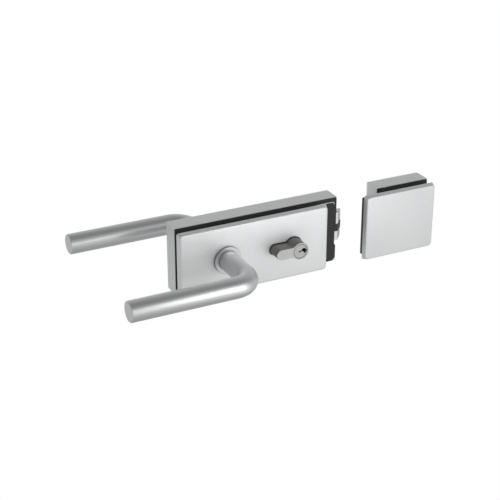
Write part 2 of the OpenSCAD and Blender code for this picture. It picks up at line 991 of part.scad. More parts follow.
module strike_clamp_plate() {
    color("#4a4b4d")
        difference() {
            inner_plate(strike_x0, strike_x1);
            for (x = strike_post_x, z = [-strike_post_z, strike_post_z])
                countersinks(x, z);
        }
}

module strike_screws() {
    color("#8a8c8f")
        for (x = strike_post_x, z = [-strike_post_z, strike_post_z])
            countersunk(x, z);
}

module strike_cover() {
    color("silver")
        cover_shell(strike_x0, strike_x1);
}

module strike_buffer() {
    // Rubber strip behind the lip, which meets the gasket of the lock half when the door is shut
    color("#202022")
        slab(y_plate, -buffer_clear)
            round_rect(strike_x0 + buffer_inset, strike_x0 + buffer_inset + buffer_w,
                -half_h + buffer_inset, half_h - buffer_inset, 1);
}

rear_case();
rear_gasket();
lock_body();
lock_lid();
lid_screws();
front_pad();
clamp_plate();
clamp_screws();
front_cover();
front_rose();
rear_rose();
front_bush();
rear_bush();
front_lever();
rear_lever();
spindle();
lever_grub_screws();
follower();
follower_spring();
latch_bolt();
latch_insert();
latch_spring();
deadbolt();
cylinder_housing();
front_plug();
rear_plug();
cam();
clutch();
pin_stacks();
cylinder_screw();
strike_case();
strike_gasket();
strike_keep();
strike_pad();
strike_clamp_plate();
strike_screws();
strike_cover();
strike_buffer();
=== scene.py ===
"""Looks of a glass to glass lever lockset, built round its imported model.

The lock half clamps on the glass door and the strike half on the side pane. Everything is in metres, in
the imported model's frame: X runs along the lockset, -Y is the room side with the key, and Z is up.
"""
import logging
import math
from dataclasses import dataclass
from enum import Enum
from typing import Sequence

import bmesh
import bpy
from mathutils import Matrix, Vector


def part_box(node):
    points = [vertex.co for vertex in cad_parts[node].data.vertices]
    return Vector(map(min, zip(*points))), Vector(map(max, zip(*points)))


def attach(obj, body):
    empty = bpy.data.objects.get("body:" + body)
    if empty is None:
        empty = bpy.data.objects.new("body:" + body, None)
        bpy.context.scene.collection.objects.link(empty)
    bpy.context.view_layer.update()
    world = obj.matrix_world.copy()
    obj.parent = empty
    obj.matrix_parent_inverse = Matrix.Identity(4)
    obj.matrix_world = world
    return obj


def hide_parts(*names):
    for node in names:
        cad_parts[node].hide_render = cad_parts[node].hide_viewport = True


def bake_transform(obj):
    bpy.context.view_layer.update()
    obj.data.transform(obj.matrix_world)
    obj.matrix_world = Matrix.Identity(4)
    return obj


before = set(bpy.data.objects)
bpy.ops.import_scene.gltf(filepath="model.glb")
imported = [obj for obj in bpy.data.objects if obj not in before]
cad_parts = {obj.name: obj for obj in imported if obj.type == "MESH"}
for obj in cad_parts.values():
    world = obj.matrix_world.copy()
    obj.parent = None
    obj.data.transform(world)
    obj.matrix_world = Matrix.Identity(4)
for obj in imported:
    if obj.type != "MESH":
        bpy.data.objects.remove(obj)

LOG = logging.getLogger("lockset")

Triple = tuple[float, float, float]
Outline = Sequence[tuple[float, float]]

MM = 0.001
# Side of the photograph in pixels, and width of the camera's sensor
PHOTO_PX = 500.0
SENSOR_MM = 36.0
# Place of the plugs' axis along X
KEY_X_MM = 68.5
# Points of a new piece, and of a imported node, that lie closer than this become one
MERGE_MM = 0.0005
WELD_MM = 0.002
# Angles between faces: up to the first they count as flat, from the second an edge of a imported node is
# rounded, and from the third an edge of a new piece is shown sharp
FLAT_DEG = 0.3
SHARP_DEG = 32.0
CREASE_DEG = 35.0
# How far a cutter reaches out of what it cuts
CLEAR_MM = 1.0
# Places closer than this are the same, in metres
NEAR = 1e-7
# Faces round a bar, a plug, a hole's painted shade and a spring's wire, and steps in one turn of a spring
ROD_SIDES = 64
PLUG_SIDES = 72
HOLE_SHADE_SIDES = 32
WIRE_SIDES = 12
TURN_STEPS = 36

# Values of a pattern between which the tone changes, on metal and on dark surfaces
METAL_TONES = (0.3, 0.7)
DARK_TONES = (0.4, 0.72)
# Share by which the roughness varies
METAL_ROUGH_STEP = 0.12
DARK_ROUGH_STEP = 0.15
# Strength of the relief, and share of the full reflection of dark surfaces
METAL_BUMP = 0.5
DARK_BUMP = 0.6
DARK_SPECULAR = 0.4
# Detail of the noise in metal, in its slow clouds and in dark surfaces
METAL_DETAIL = 4.0
CLOUD_DETAIL = 3.0
DARK_DETAIL = 5.0
CLOUDS_PER_METRE = 40.0
# How much slower brushed metal changes along its lines than across them
BRUSH_STRETCH = 0.04
# Share of the normal along Y over which the painted shade on a side fades out towards a face
PAINTED_SHADE_FADE = (0.35, 0.85)


def scaled(colour: Triple, share: float) -> Triple:
    """Makes a colour lighter or darker.

    Args:
        colour: Linear colour.
        share: What it is multiplied by.

    Returns:
        The new colour.
    """
    return tuple(part * share for part in colour)


class Graph:
    """The node tree of a material or of the world, with short ways to add what is often used."""

    def __init__(self, owner: bpy.types.Material | bpy.types.World) -> None:
        """Turns the owner's nodes on.

        Args:
            owner: The material or the world.
        """
        owner.use_nodes = True
        self.nodes = owner.node_tree.nodes
        self.links = owner.node_tree.links

    def place(self, kind: str = "Object") -> bpy.types.NodeSocket:
        """Adds a texture coordinate.

        Args:
            kind: Kind of the coordinate.

        Returns:
            Its socket.
        """
        return self.nodes.new("ShaderNodeTexCoord").outputs[kind]

    def noise(self, place: bpy.types.NodeSocket, scale: float, detail: float) -> bpy.types.NodeSocket:
        """Adds a noise pattern.

        Args:
            place: Socket of the place it is read at.
            scale: Its spots in one unit of the place.
            detail: Its finer layers.

        Returns:
            The socket of its value.
        """
        noise = self.nodes.new("ShaderNodeTexNoise")
        noise.inputs["Scale"].default_value = scale
        noise.inputs["Detail"].default_value = detail
        self.links.new(place, noise.inputs["Vector"])
        return noise.outputs["Fac"]

    def spread(self, source: bpy.types.NodeSocket, low: float, high: float, start: float = 0.0,
               end: float = 1.0, kind: str = "LINEAR") -> bpy.types.NodeSocket:
        """Maps a value from one range to another.

        Args:
            source: Socket of the value.
            low: What the range's start becomes.
            high: What the range's end becomes.
            start: Start of the value's range.
            end: End of the value's range.
            kind: How it goes from one to the other.

        Returns:
            The socket of the mapped value.
        """
        mapped = self.nodes.new("ShaderNodeMapRange")
        mapped.interpolation_type = kind
        mapped.inputs["From Min"].default_value = start
        mapped.inputs["From Max"].default_value = end
        mapped.inputs["To Min"].default_value = low
        mapped.inputs["To Max"].default_value = high
        self.links.new(source, mapped.inputs["Value"])
        return mapped.outputs["Result"]

    def tones(self, source: bpy.types.NodeSocket, dark: Triple, light: Triple,
              between: tuple[float, float]) -> bpy.types.NodeSocket:
        """Turns a pattern into a tone between two colours.

        Args:
            source: Socket of the pattern.
            dark: Colour of its low values.
            light: Colour of its high values.
            between: The values between which the tone changes.

        Returns:
            The socket of the colour.
        """
        ramp = self.nodes.new("ShaderNodeValToRGB")
        for element, value, colour in zip(ramp.color_ramp.elements, between, (dark, light)):
            element.position = value
            element.color = (*colour, 1)
        self.links.new(source, ramp.inputs["Fac"])
        return ramp.outputs["Color"]

    def bump(self, source: bpy.types.NodeSocket, height_mm: float, strength: float) -> bpy.types.NodeSocket:
        """Turns a pattern into a fine relief.

        Args:
            source: Socket of the pattern.
            height_mm: Height of the relief, in millimetres.
            strength: Strength of the relief.

        Returns:
            The socket of the normal.
        """
        bump = self.nodes.new("ShaderNodeBump")
        bump.inputs["Distance"].default_value = height_mm * MM
        bump.inputs["Strength"].default_value = strength
        self.links.new(source, bump.inputs["Height"])
        return bump.outputs["Normal"]

    def maths(self, operation: str, *values: bpy.types.NodeSocket) -> bpy.types.NodeSocket:
        """Adds a sum or another operation.

        Args:
            operation: Name of the operation.
            values: Sockets of its values.

        Returns:
            The socket of the result.
        """
        node = self.nodes.new("ShaderNodeMath")
        node.operation = operation
        for number, value in enumerate(values):
            self.links.new(value, node.inputs[number])
        return node.outputs["Value"]

    def parts(self, vector: bpy.types.NodeSocket) -> bpy.types.NodeOutputs:
        """Splits a vector.

        Args:
            vector: Socket of the vector.

        Returns:
            The sockets of its parts, named X, Y and Z.
        """
        split = self.nodes.new("ShaderNodeSeparateXYZ")
        self.links.new(vector, split.inputs["Vector"])
        return split.outputs

    def vector(self, x: bpy.types.NodeSocket, y: bpy.types.NodeSocket) -> bpy.types.NodeSocket:
        """Joins two values to a flat vector.

        Args:
            x: Socket of its X.
            y: Socket of its Y.

        Returns:
            The socket of the vector.
        """
        joined = self.nodes.new("ShaderNodeCombineXYZ")
        self.links.new(x, joined.inputs["X"])
        self.links.new(y, joined.inputs["Y"])
        return joined.outputs["Vector"]


class Surface(Enum):
    """How a metal surface was finished, which sets the direction of its fine lines."""

    ALONG_X = "brushed along the case"
    AROUND_Y = "turned about the Y axis"
    BLASTED = "blasted and anodised"


@dataclass(frozen=True)
class MetalFinish:
    """A bare, plated or anodised metal.

    Attributes:
        name: Name of the material.
        colour: Linear base colour.
        roughness: Mean roughness.
        grain_mm: Distance between the grain's lines or spots, in millimetres.
        surface: Direction of the grain.
        tone_step: Share by which the colour varies with the grain.
        bump_mm: Height of the grain, in millimetres.
        painted_side_shade: Share of the tone left on faces that don't look along Y, as painted shade.
    """

    name: str
    colour: Triple
    roughness: float
    grain_mm: float
    surface: Surface
    tone_step: float
    bump_mm: float = 0.01
    painted_side_shade: float = 1.0

    def material(self, centre: Vector | None = None) -> bpy.types.Material:
        """Builds the metal's material.

        Args:
            centre: Point on the turning axis, where the surface is turned.

        Returns:
            The new material.
        """
        made = bpy.data.materials.new(self.name)
        graph = Graph(made)
        shader = graph.nodes["Principled BSDF"]
        shader.inputs["Metallic"].default_value = 1.0
        pattern = self._pattern(graph, centre or Vector())
        dark = scaled(self.colour, 1 - self.tone_step)
        light = scaled(self.colour, 1 + self.tone_step)
        tone = self._paint_side_shade(graph, graph.tones(pattern, dark, light, METAL_TONES))
        cloud = graph.noise(graph.place(), CLOUDS_PER_METRE, CLOUD_DETAIL)
        step = self.roughness * METAL_ROUGH_STEP
        rough = graph.spread(cloud, self.roughness - step, self.roughness + step)
        graph.links.new(tone, shader.inputs["Base Color"])
        graph.links.new(rough, shader.inputs["Roughness"])
        graph.links.new(graph.bump(pattern, self.bump_mm, METAL_BUMP), shader.inputs["Normal"])
        return made

    def _paint_side_shade(self, graph: Graph, colour: bpy.types.NodeSocket) -> bpy.types.NodeSocket:
        """Paints shade on the faces that don't look along Y, darker as they turn away from it.

        Args:
            graph: Nodes of the material.
            colour: Socket of the colour without the painted shade.

        Returns:
            The socket of the shaded colour.
        """
        if self.painted_side_shade >= 1.0:
            return colour
        along = graph.maths("ABSOLUTE", graph.parts(graph.place("Normal"))["Y"])
        # Painted shade: faces that turn away from Y get a darker copy of the colour
        mix = graph.nodes.new("ShaderNodeMix")
        mix.data_type = "RGBA"
        mix.inputs["A"].default_value = (*scaled(self.colour, self.painted_side_shade), 1)
        graph.links.new(graph.spread(along, 0.0, 1.0, *PAINTED_SHADE_FADE), mix.inputs["Factor"])
        graph.links.new(colour, mix.inputs["B"])
        return mix.outputs["Result"]

    def _pattern(self, graph: Graph, centre: Vector) -> bpy.types.NodeSocket:
        """Makes the grain's height pattern.

        Args:
            graph: Nodes of the material.
            centre: Point on the turning axis, where the surface is turned.

        Returns:
            The socket that gives the height.
        """
        shift = graph.nodes.new("ShaderNodeMapping")
        shift.inputs["Location"].default_value = -centre
        graph.links.new(graph.place(), shift.inputs["Vector"])
        place = shift.outputs["Vector"]
        if self.surface is Surface.AROUND_Y:
            place = self._rings(graph, place)
        across = 1.0 / (self.grain_mm * MM)
        along = across * BRUSH_STRETCH if self.surface is Surface.ALONG_X else across
        size = graph.nodes.new("ShaderNodeMapping")
        size.inputs["Scale"].default_value = (along, across, across)
        graph.links.new(place, size.inputs["Vector"])
        return graph.noise(size.outputs["Vector"], 1.0, METAL_DETAIL)

    def _rings(self, graph: Graph, place: bpy.types.NodeSocket) -> bpy.types.NodeSocket:
        """Gives a place by its distance from the Y axis and its way along it.

        Args:
            graph: Nodes of the material.
            place: Socket of the place.

        Returns:
            The socket of the vector of both.
        """
        parts = graph.parts(place)
        radius = graph.nodes.new("ShaderNodeVectorMath")
        radius.operation = "LENGTH"
        graph.links.new(graph.vector(parts["X"], parts["Z"]), radius.inputs[0])
        return graph.vector(radius.outputs["Value"], parts["Y"])


@dataclass(frozen=True)
class DarkFinish:
    """A black coat, casting, nylon or rubber, with the speckle of its mould or its sand.

    Attributes:
        name: Name of the material.
        colour: Linear base colour.
        roughness: Mean roughness.
        speckle_mm: Size of the speckle, in millimetres.
        speckle: Share of lighter tone in the speckle.
        bump_mm: Depth of the speckle, in millimetres.
        sheen: Weight of the dusty sheen of rubber.
    """

    name: str
    colour: Triple
    roughness: float
    speckle_mm: float
    speckle: float
    bump_mm: float = 0.03
    sheen: float = 0.0

    def material(self) -> bpy.types.Material:
        """Builds the dark material.

        Returns:
            The new material.
        """
        made = bpy.data.materials.new(self.name)
        graph = Graph(made)
        shader = graph.nodes["Principled BSDF"]
        shader.inputs["Specular IOR Level"].default_value = DARK_SPECULAR
        shader.inputs["Sheen Weight"].default_value = self.sheen
        spots = graph.noise(graph.place(), 1.0 / (self.speckle_mm * MM), DARK_DETAIL)
        tone = graph.tones(spots, self.colour, scaled(self.colour, 1 + self.speckle), DARK_TONES)
        step = self.roughness * DARK_ROUGH_STEP
        rough = graph.spread(spots, self.roughness - step, self.roughness + step)
        graph.links.new(tone, shader.inputs["Base Color"])
        graph.links.new(rough, shader.inputs["Roughness"])
        graph.links.new(graph.bump(spots, self.bump_mm, DARK_BUMP), shader.inputs["Normal"])
        return made


Finish = MetalFinish | DarkFinish

SATIN = MetalFinish("satin_aluminium", (0.78, 0.785, 0.79), 0.58, 0.55, Surface.BLASTED, 0.04)
LEVER = MetalFinish("lever_aluminium", (0.65, 0.655, 0.66), 0.38, 0.25, Surface.BLASTED, 0.03)
# The rose and the cylinder carry painted shade on their side faces
ROSE = MetalFinish("rose_aluminium", (0.62, 0.625, 0.63), 0.38, 0.20, Surface.AROUND_Y, 0.04,
                   painted_side_shade=0.5)
NICKEL = MetalFinish("nickel", (0.70, 0.70, 0.69), 0.36, 0.25, Surface.ALONG_X, 0.05)
CYLINDER = MetalFinish("cylinder_nickel", (0.51, 0.51, 0.505), 0.45, 0.15, Surface.AROUND_Y, 0.05,
                       painted_side_shade=0.42)
PLUG = MetalFinish("plug_nickel", (0.45, 0.45, 0.445), 0.40, 0.15, Surface.AROUND_Y, 0.06)
ZINC = MetalFinish("zinc_steel", (0.60, 0.61, 0.62), 0.45, 0.6, Surface.BLASTED, 0.08)
BRASS = MetalFinish("brass", (0.75, 0.60, 0.30), 0.35, 0.3, Surface.AROUND_Y, 0.06)
COATED = DarkFinish("dark_steel", (0.045, 0.045, 0.048), 0.55, 0.6, 0.4)
CAST = DarkFinish("black_housing", (0.035, 0.035, 0.037), 0.60, 0.8, 1.1)
NYLON = DarkFinish("black_nylon", (0.030, 0.030, 0.032), 0.50, 0.8, 0.3)
RUBBER = DarkFinish("black_rubber", (0.026, 0.026, 0.028), 0.75, 0.9, 1.0, sheen=0.2)


class Shop:
    """Keeps one material for each finish and puts it on pieces."""

    def __init__(self) -> None:
        """Starts with no material made."""
        self._made: dict[tuple[str, Triple | None], bpy.types.Material] = {}

    def material(self, finish: Finish, centre: Vector | None = None) -> bpy.types.Material:
        """Gives the material of a finish, made once.

        Args:
            finish: The finish.
            centre: Point on the turning axis of a turned metal.

        Returns:
            The material.
        """
        key = (finish.name, tuple(centre) if centre else None)
        if key not in self._made:
            turned = isinstance(finish, MetalFinish) and finish.surface is Surface.AROUND_Y
            self._made[key] = finish.material(centre) if turned else finish.material()
        return self._made[key]

    def dress(self, piece: bpy.types.Object, finish: Finish, centre: Vector | None = None) -> None:
        """Puts a finish on every slot of a piece.

        Args:
            piece: The piece.
            finish: Its finish.
            centre: Point on the turning axis of a turned metal.
        """
        made = self.material(finish, centre)
        if not piece.material_slots:
            piece.data.materials.append(made)
        for slot in piece.material_slots:
            slot.material = made

    def dress_nodes(self, finish: Finish, *nodes: str, centre: Vector | None = None) -> None:
        """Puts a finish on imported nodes.

        Args:
            finish: Their finish.
            nodes: Names of the nodes.
            centre: Point on the turning axis of a turned metal.
        """
        for node in nodes:
            self.dress(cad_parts[node], finish, centre)
            LOG.info("dressed %s", node)


class Shaper:
    """Builds new pieces of the lockset from bmesh work."""

    def __init__(self, shop: Shop) -> None:
        """Keeps the shop that gives the pieces their finishes.

        Args:
            shop: Maker of the materials.
        """
        self.shop = shop

    def link(self, name: str, work: bmesh.types.BMesh, crease_deg: float = CREASE_DEG) -> bpy.types.Object:
        """Turns bmesh work into an object with its normals outwards and its flat faces crisp.

        Args:
            name: Name of the object.
            work: The finished bmesh, which is freed.
            crease_deg: Angle from which an edge is shown sharp.

        Returns:
            The new object, with its place in its mesh.
        """
        bmesh.ops.remove_doubles(work, verts=work.verts, dist=MERGE_MM * MM)
        bmesh.ops.recalc_face_normals(work, faces=work.faces)
        data = bpy.data.meshes.new(name)
        work.to_mesh(data)
        work.free()
        for face in data.polygons:
            face.use_smooth = True
        data.set_sharp_from_angle(angle=math.radians(crease_deg))
        piece = bpy.data.objects.new(name, data)
        bpy.context.scene.collection.objects.link(piece)
        return piece

    def round_off(self, work: bmesh.types.BMesh, parts: Sequence[bmesh.types.BMEdge | bmesh.types.BMVert],
                  width_mm: float, segments: int = 3, affect: str = "EDGES") -> None:
        """Rounds some edges of bmesh work, or the corners of a flat outline.

        Args:
            work: The bmesh.
            parts: Its edges or corners.
            width_mm: Width of the rounding.
            segments: Faces across the rounding.
            affect: EDGES for edges and VERTICES for corners.
        """
        bmesh.ops.bevel(work, geom=parts, offset=width_mm * MM, offset_type="OFFSET", segments=segments,
                        profile=0.5, affect=affect, material=-1)

    def rod(self, radius_mm: float, start: Vector, length_mm: float) -> bmesh.types.BMesh:
        """Makes a round bar along Y.

        Args:
            radius_mm: Radius of the bar.
            start: Middle of its end with the lowest Y, in millimetres.
            length_mm: Length of the bar.

        Returns:
            The bar as bmesh work, in metres.
        """
        work = bmesh.new()
        bmesh.ops.create_cone(work, cap_ends=True, segments=ROD_SIDES, radius1=radius_mm * MM,
                              radius2=radius_mm * MM, depth=length_mm * MM)
        bmesh.ops.rotate(work, verts=work.verts, cent=(0, 0, 0),
                         matrix=Matrix.Rotation(-math.pi / 2, 3, "X"))
        bmesh.ops.translate(work, verts=work.verts, vec=(start + Vector((0, length_mm / 2, 0))) * MM)
        return work

    def prism(self, outline: Outline, start: Vector, length_mm: float) -> bmesh.types.BMesh:
        """Extrudes a flat outline along Y.

        Args:
            outline: Corners as X and Z in millimetres, about the start.
            start: Origin of the outline, at its lowest Y, in millimetres.
            length_mm: Length of the extrusion.

        Returns:
            The prism as bmesh work, in metres.
        """
        work = bmesh.new()
        corners = [work.verts.new((start + Vector((x, 0, z))) * MM) for x, z in outline]
        face = work.faces.new(corners)
        grown = bmesh.ops.extrude_face_region(work, geom=[face])
        moved = [part for part in grown["geom"] if isinstance(part, bmesh.types.BMVert)]
        bmesh.ops.translate(work, verts=moved, vec=(0, length_mm * MM, 0))
        bmesh.ops.recalc_face_normals(work, faces=work.faces)
        return work

    def carve(self, piece: bpy.types.Object, cutters: Sequence[bmesh.types.BMesh]) -> None:
        """Cuts shapes out of a piece and keeps the result in its mesh.

        Args:
            piece: The piece that is cut.
            cutters: Closed shapes that are taken away, which are freed.
        """
        tools = []
        for number, cutter in enumerate(cutters):
            tool = self.link(f"{piece.name}_cutter_{number}", cutter)
            cut = piece.modifiers.new("cut", "BOOLEAN")
            cut.operation = "DIFFERENCE"
            cut.solver = "EXACT"
            cut.object = tool
            tools.append(tool)
        graph = bpy.context.evaluated_depsgraph_get()
        done = bpy.data.meshes.new_from_object(piece.evaluated_get(graph))
        done.name = piece.data.name
        piece.modifiers.clear()
        piece.data = done
        done.set_sharp_from_angle(angle=math.radians(CREASE_DEG))
        for tool in tools:
            bpy.data.objects.remove(tool)

    def fit(self, piece: bpy.types.Object, body: str, slot: str, finish: Finish,
            nodes: Sequence[str] = (), centre: Vector | None = None) -> None:
        """Dresses a piece, lets it ride on its body and hides the nodes that it replaces.

        Args:
            piece: The piece.
            body: Body that it moves with.
            slot: Material slot of the record. Not used.
            finish: Its finish.
            nodes: Nodes that it replaces.
            centre: Point on the turning axis of a turned metal.
        """
        self.shop.dress(piece, finish, centre)
        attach(piece, body)
        if nodes:
            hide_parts(*nodes)
        LOG.info("made %s", piece.name)


def soften(node: str, width_mm: float, segments: int = 2) -> None:
    """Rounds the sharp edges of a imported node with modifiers, and leaves its mesh alone.

    Args:
        node: Name of the node.
        width_mm: Width of the rounding, in millimetres.
        segments: Faces across the rounding.
    """
    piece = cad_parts[node]
    weld = piece.modifiers.new("merged", "WELD")
    weld.merge_threshold = WELD_MM * MM
    flat = piece.modifiers.new("flat faces", "DECIMATE")
    flat.decimate_type = "DISSOLVE"
    flat.angle_limit = math.radians(FLAT_DEG)
    edge = piece.modifiers.new("edges", "BEVEL")
    edge.width = width_mm * MM
    edge.segments = segments
    edge.limit_method = "ANGLE"
    edge.angle_limit = math.radians(SHARP_DEG)
    edge.use_clamp_overlap = True
    edge.harden_normals = True


@dataclass
class Casings:
    """The cases, covers, gaskets and pads of both halves, and what clamps them.

    Attributes:
        shaper: Maker of the new pieces.
        case_edge_mm: Width of the rounding of a case's edges.
        corner_mm: Radius of a cover's corners at its back.
        corner_steps: Faces round such a corner.
        face_corner_mm: Radius of a cover's corners at its face.
        lean_deg: Angle by which a cover's sides lean in towards the front.
        edge_mm: Width of the rounding between a cover's side and its face.
        crease_deg: Angle from which a cover's edge is shown sharp.
        rim_mm: Width of a cover's rim round its pocket.
        face_mm: Thickness of a cover's front wall.
        sleeve_mm: Radius of the hole for the rose's sleeve.
        key_round_mm: Radius of the profile cylinder's round part.
        key_leg_mm: Length and width of the profile cylinder's leg, from the plug's axis.
        key_gap_mm: Gap round the profile cylinder in the cover.
        trim_x_mm: Ends of the bare strip in the gasket along X.
        trim_z_mm: Lower end and top of that strip.
        trim_wide_mm: Width of that strip.
        trim_turn_mm: Size of the bend at its corner.
        trim_inner: Share of its width by which the bend is larger at its inner side.
        trim_proud_mm: How far that strip stands out of the gasket.
        trim_deep_mm: Thickness of that strip.
        buffer_short_mm: How far the rubber strip ends below its node's top.
        buffer_edge_mm: Width of the rubber strip's round edges.
    """

    shaper: Shaper
    case_edge_mm: float = 0.75
    corner_mm: float = 2.0
    corner_steps: int = 8
    face_corner_mm: float = 4.0
    lean_deg: float = 12.0
    edge_mm: float = 1.1
    crease_deg: float = 30.0
    rim_mm: float = 2.0
    face_mm: float = 1.8
    sleeve_mm: float = 11.85
    key_round_mm: float = 8.5
    key_leg_mm: tuple[float, float] = (24.5, 10.0)
    key_gap_mm: float = 0.9
    trim_x_mm: tuple[float, float] = (-40.0, 119.7)
    trim_z_mm: tuple[float, float] = (26.8, 29.65)
    trim_wide_mm: float = 0.55
    trim_turn_mm: float = 0.8
    trim_inner: float = 0.4
    trim_proud_mm: float = 0.03
    trim_deep_mm: float = 0.4
    buffer_short_mm: float = 2.6
    buffer_edge_mm: float = 0.9

    def _outline(self, work: bmesh.types.BMesh, low: Vector, high: Vector, y: float,
                 radius_mm: float) -> list[bmesh.types.BMEdge]:
        """Draws a rectangle with round corners across Y.

        Args:
            work: The bmesh it is drawn in.
            low: Its lowest corner.
            high: Its highest corner.
            y: Its place along Y.
            radius_mm: Radius of its corners.

        Returns:
            Its edges.
        """
        corners = [work.verts.new((x, y, z)) for x, z in
                   ((low.x, low.z), (high.x, low.z), (high.x, high.z), (low.x, high.z))]
        work.faces.new(corners)
        self.shaper.round_off(work, corners, radius_mm, self.corner_steps, "VERTICES")
        face = next(f for f in work.faces if abs(f.calc_center_median().y - y) < NEAR)
        edges = list(face.edges)
        bmesh.ops.delete(work, geom=[face], context="FACES_ONLY")
        return edges

    def _cover(self, node: str) -> bpy.types.Object:
        """Shapes a front cover with leaning sides, a soft edge and a pocket at its back.

        Args:
            node: The cover's node, whose box it fills.

        Returns:
            The cover without its holes.
        """
        low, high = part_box(node)
        lean = (high.y - low.y) * math.tan(math.radians(self.lean_deg))
        shrink = Vector((lean, 0, lean))
        inside = Vector((self.rim_mm, 0, self.rim_mm)) * MM
        ground_y = low.y + self.face_mm * MM
        work = bmesh.new()
        outer = self._outline(work, low, high, high.y, self.corner_mm)
        front = self._outline(work, low + shrink, high - shrink, low.y, self.face_corner_mm)
        pocket = self._outline(work, low + inside, high - inside, high.y, self.corner_mm)
        ground = self._outline(work, low + inside, high - inside, ground_y, self.corner_mm)
        for pair in ((outer, front), (outer, pocket), (pocket, ground)):
            bmesh.ops.bridge_loops(work, edges=[*pair[0], *pair[1]])
        bmesh.ops.contextual_create(work, geom=ground)
        face = bmesh.ops.contextual_create(work, geom=front)["faces"][0]
        bmesh.ops.recalc_face_normals(work, faces=work.faces)
        self.shaper.round_off(work, list(face.edges), self.edge_mm)
        return self.shaper.link(node + "_shell", work, self.crease_deg)

    def _covers(self) -> None:
        """Makes both covers and cuts the holes of lever and cylinder into the one of the lock."""
        cover = self._cover("front_cover")
        low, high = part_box("front_cover")
        start_y = low.y / MM - CLEAR_MM
        length = (high.y - low.y) / MM + 2 * CLEAR_MM
        leg, width = self.key_leg_mm
        end = width / 2 - leg
        half = width / 2 + self.key_gap_mm
        lever = Vector((0, start_y, 0))
        key = Vector((KEY_X_MM, start_y, 0))
        self.shaper.carve(cover, (
            self.shaper.rod(self.sleeve_mm, lever, length),
            self.shaper.rod(self.key_round_mm + self.key_gap_mm, key, length),
            self.shaper.rod(half, key + Vector((end, 0, 0)), length),
            self.shaper.prism(((end, -half), (0, -half), (0, half), (end, half)), key, length),
        ))
        self.shaper.fit(cover, "lockset", "satin_aluminium", SATIN, ("front_cover",))
        strike = self._cover("strike_cover")
        self.shaper.fit(strike, "lockset", "satin_aluminium", SATIN, ("strike_cover",))

    def _trim(self) -> None:
        """Lays the thin bare strip into the gasket's face, along its top and round its corner."""
        left, right = self.trim_x_mm
        low, high = self.trim_z_mm
        wide = self.trim_wide_mm
        turn = self.trim_turn_mm
        inner = turn + wide * self.trim_inner
        outline = (
            (left, high), (right - turn, high), (right, high - turn), (right, low), (right - wide, low),
            (right - wide, high - inner), (right - inner, high - wide), (left, high - wide),
        )
        start = Vector((0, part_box("rear_gasket")[0].y / MM - self.trim_proud_mm, 0))
        strip = self.shaper.link("gasket_trim", self.shaper.prism(outline, start, self.trim_deep_mm))
        self.shaper.fit(strip, "lockset", "zinc_steel", ZINC)

    def _buffer(self) -> None:
        """Moulds the rubber strip behind the strike's lip, short of its top and with soft edges."""
        low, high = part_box("strike_buffer")
        high.z -= self.buffer_short_mm * MM
        work = bmesh.new()
        bmesh.ops.create_cube(work, size=1.0)
        bmesh.ops.scale(work, verts=work.verts, vec=high - low)
        bmesh.ops.translate(work, verts=work.verts, vec=(low + high) / 2)
        self.shaper.round_off(work, work.edges[:], self.buffer_edge_mm)
        strip = self.shaper.link("strike_buffer_strip", work)
        self.shaper.fit(strip, "lockset", "black_rubber", RUBBER, ("strike_buffer",))

    def dress(self) -> None:
        """Makes the covers and strips and gives every casing its finish."""
        shop = self.shaper.shop
        for node in ("rear_case", "strike_case"):
            soften(node, self.case_edge_mm, segments=3)
        shop.dress_nodes(SATIN, "rear_case", "strike_case", "front_cover", "strike_cover")
        shop.dress_nodes(RUBBER, "rear_gasket", "strike_gasket", "front_pad", "strike_pad", "strike_buffer")
        shop.dress_nodes(COATED, "clamp_plate", "strike_clamp_plate")
        shop.dress_nodes(ZINC, "clamp_screws", "strike_screws")
        shop.dress_nodes(CAST, "strike_keep")
        self._covers()
        self._trim()
        self._buffer()


@dataclass
class LeverSet:
    """Both levers with their roses, bushes, spindle and set screws.

    Attributes:
        shaper: Maker of the new pieces.
        lever_edge_mm: Width of the rounding of a lever's edges.
        rose_edge_mm: Width of the rounding of a rose's edges.
    """

    shaper: Shaper
    lever_edge_mm: float = 0.55
    rose_edge_mm: float = 0.2

    def dress(self) -> None:
        """Gives the lever set its finishes."""
        shop = self.shaper.shop
        for side in ("front", "rear"):
            soften(side + "_lever", self.lever_edge_mm, segments=3)
            soften(side + "_rose", self.rose_edge_mm)
        shop.dress_nodes(LEVER, "front_lever", "rear_lever")
        shop.dress_nodes(ROSE, "front_rose", "rear_rose")
        shop.dress_nodes(NYLON, "front_bush", "rear_bush")
        shop.dress_nodes(ZINC, "spindle", "lever_grub_screws")


@dataclass(frozen=True)
class Spring:
    """One compression spring along X.

    Attributes:
        node: The spring's node.
        wire_mm: Radius of its wire.
        turns: Number of its turns.
        pushed_by: Body that presses on its free end. Not used.
        free_end_low: Whether the free end is the one with the lower X.
    """

    node: str
    wire_mm: float
    turns: int
    pushed_by: str
    free_end_low: bool


